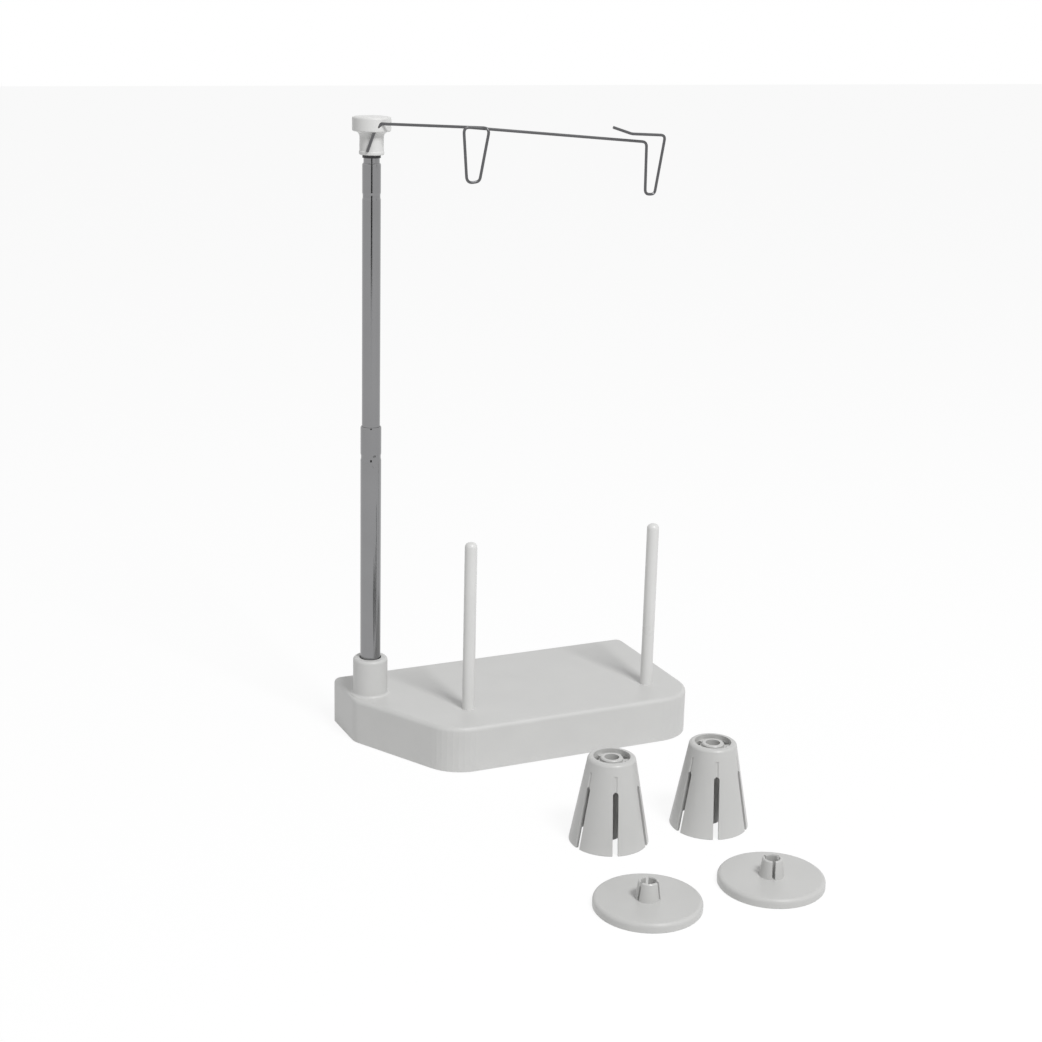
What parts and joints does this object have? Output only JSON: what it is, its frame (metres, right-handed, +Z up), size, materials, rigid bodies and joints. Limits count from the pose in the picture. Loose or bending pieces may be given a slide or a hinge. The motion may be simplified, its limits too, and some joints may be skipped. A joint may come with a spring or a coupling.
{
  "type": "cone thread stand",
  "caption": "Thread stand with a weighted base, spool pins, a telescopic mast, a swinging wire guide arm, slotted cone holders and flat spool caps for feeding thread.",
  "frame": {"origin": "on the table, under the centre of the box round the whole set", "axes": "+Z up along the mast, +X along the base's back edge to its right end, +Y from the front to the back"},
  "size_m": [0.197, 0.315, 0.3643],
  "materials": {
    "base_plastic": "satin moulded",
    "cover_plastic": "satin moulded",
    "foot_rubber": "matt",
    "screw_steel": "zinc plated",
    "ballast_iron": "dull",
    "pin_plastic": "polished",
    "mast_chrome": "bright plated",
    "bush_plastic": "matt",
    "sleeve_brass": "plain",
    "head_plastic": "satin",
    "wire_steel": "drawn",
    "holder_plastic": "polished"
  },
  "bodies": {
    "stand": {"base_shell": "base_plastic", "bottom_cover": "cover_plastic", "rubber_feet": "foot_rubber", "cover_screws": "screw_steel", "ballast_plate": "ballast_iron", "ballast_screws": "screw_steel", "spool_pin_left": "pin_plastic", "spool_pin_right": "pin_plastic", "pin_screws": "screw_steel", "pin_washers": "screw_steel", "mast_lower_tube": "mast_chrome", "mast_foot_plug": "bush_plastic", "mast_screw": "screw_steel", "mast_washer": "screw_steel", "lower_bush": "bush_plastic"},
    "mast_middle": {"mast_middle_tube": "mast_chrome", "middle_foot_sleeve": "sleeve_brass", "upper_bush": "bush_plastic"},
    "mast_top": {"mast_top_tube": "mast_chrome", "top_foot_sleeve": "sleeve_brass", "head_collar": "bush_plastic"},
    "guide_arm": {"guide_head": "head_plastic", "guide_wire": "wire_steel"},
    "cone_left": {"cone_holder_left": "holder_plastic"},
    "cone_right": {"cone_holder_right": "holder_plastic"},
    "cap_left": {"spool_cap_left": "holder_plastic"},
    "cap_right": {"spool_cap_right": "holder_plastic"}
  },
  "joints": [
    {"name": "mast_middle_slide", "type": "slide", "parent": "stand", "child": "mast_middle", "axis": [0, 0, 1], "range_m": [-0.13, 0]},
    {"name": "mast_top_slide", "type": "slide", "parent": "mast_middle", "child": "mast_top", "axis": [0, 0, 1], "range_m": [-0.0025, 0.128]},
    {"name": "arm_swing", "type": "hinge", "parent": "mast_top", "child": "guide_arm", "pos_m": [-0.0855, 0.126, 0.35], "axis": [0, 0, 1], "continuous": true},
    {"name": "cone_left_lift", "type": "slide", "parent": "stand", "child": "cone_left", "axis": [0, 0, 1], "range_m": [0, 0.15]},
    {"name": "cone_right_lift", "type": "slide", "parent": "stand", "child": "cone_right", "axis": [0, 0, 1], "range_m": [0, 0.15]},
    {"name": "cap_left_lift", "type": "slide", "parent": "stand", "child": "cap_left", "axis": [0, 0, 1], "range_m": [0, 0.15]},
    {"name": "cap_right_lift", "type": "slide", "parent": "stand", "child": "cap_right", "axis": [0, 0, 1], "range_m": [0, 0.15]}
  ]
}
